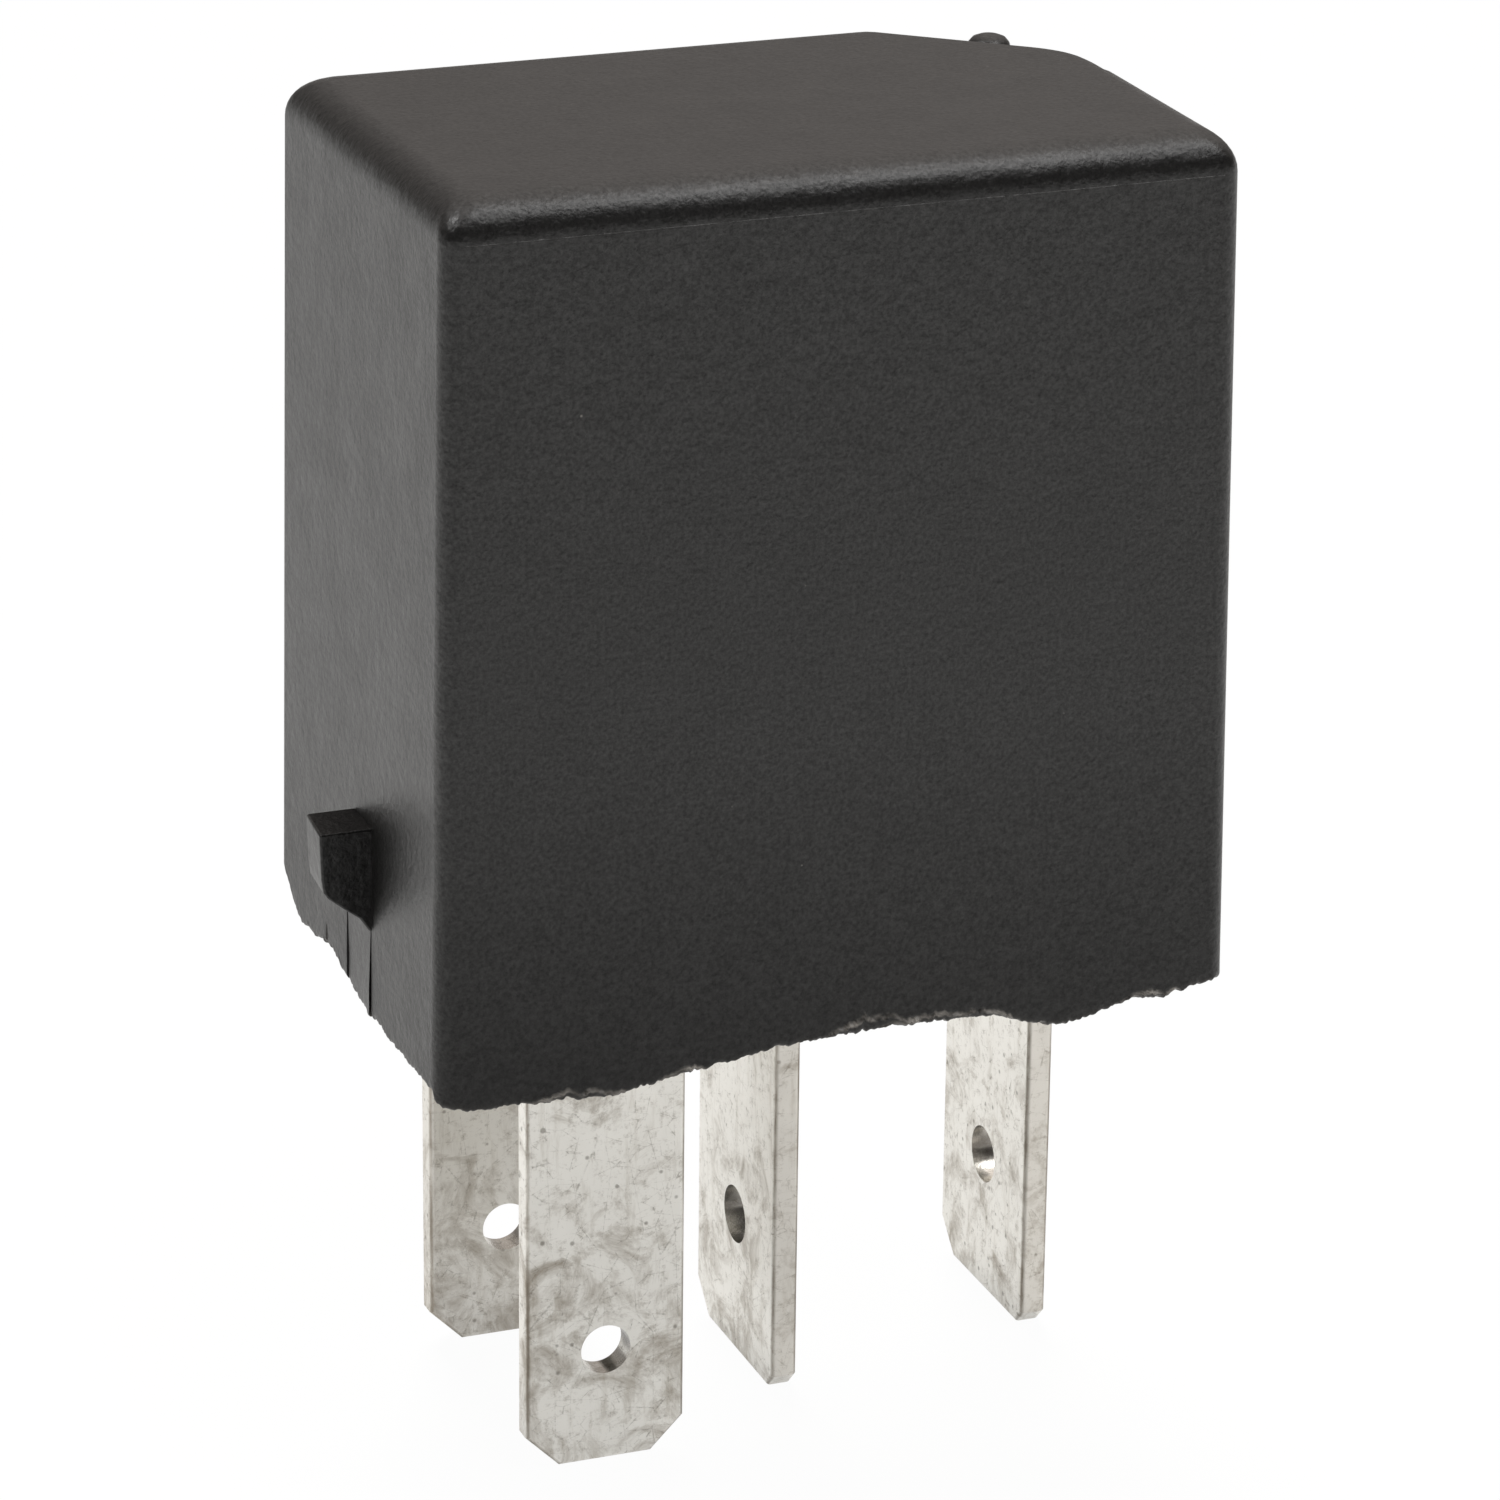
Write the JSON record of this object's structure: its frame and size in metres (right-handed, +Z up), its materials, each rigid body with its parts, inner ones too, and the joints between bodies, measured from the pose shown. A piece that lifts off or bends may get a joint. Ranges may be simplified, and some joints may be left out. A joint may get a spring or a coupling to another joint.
{
  "type": "automotive relay",
  "caption": "Small plug-in car relay: black moulded cover with a latch wedge and rough lower rim over tinned flat blades, with a coil, armature and contacts inside.",
  "frame": {"origin": "centre of the cover on the seat, the flat resin face under the base", "axes": "+X to the right along the wide front, +Y to the rear, +Z up out of the cover's top; the blades point down -Z"},
  "size_m": [0.0253, 0.015, 0.0385],
  "materials": {
    "cover_plastic": "fine mould grain",
    "base_plastic": "matte",
    "sealing_resin": "cast, glossy",
    "tinned_copper": "dull tin plate with stains",
    "plated_iron": "satin nickel plate",
    "bobbin_plastic": "natural",
    "enamelled_copper": "enamelled",
    "bronze_strip": "rolled",
    "contact_silver": "satin",
    "spring_steel": "drawn wire",
    "bare_copper": "braided"
  },
  "bodies": {
    "relay_body": {"cover": "cover_plastic", "base": "base_plastic", "base_seal": "sealing_resin", "terminal_85": "tinned_copper", "terminal_86": "tinned_copper", "terminal_30": "tinned_copper", "terminal_87": "tinned_copper", "yoke": "plated_iron", "core": "plated_iron", "bobbin": "bobbin_plastic", "coil_winding": "enamelled_copper", "coil_lead_front": "enamelled_copper", "coil_lead_rear": "enamelled_copper", "fixed_contact": "contact_silver", "return_spring": "spring_steel", "braid": "bare_copper"},
    "armature": {"armature": "plated_iron", "contact_leaf": "bronze_strip", "leaf_rivets": "plated_iron", "moving_contact": "contact_silver"}
  },
  "joints": [
    {"name": "armature_hinge", "type": "hinge", "parent": "relay_body", "child": "armature", "pos_m": [-0.0079, -0.00045, 0.01926], "axis": [0, 1, 0], "range_deg": [0, 3], "stiffness_Nm_per_rad": 0.0026, "springref_deg": -20.05, "deforming": ["return_spring", "braid"]}
  ]
}
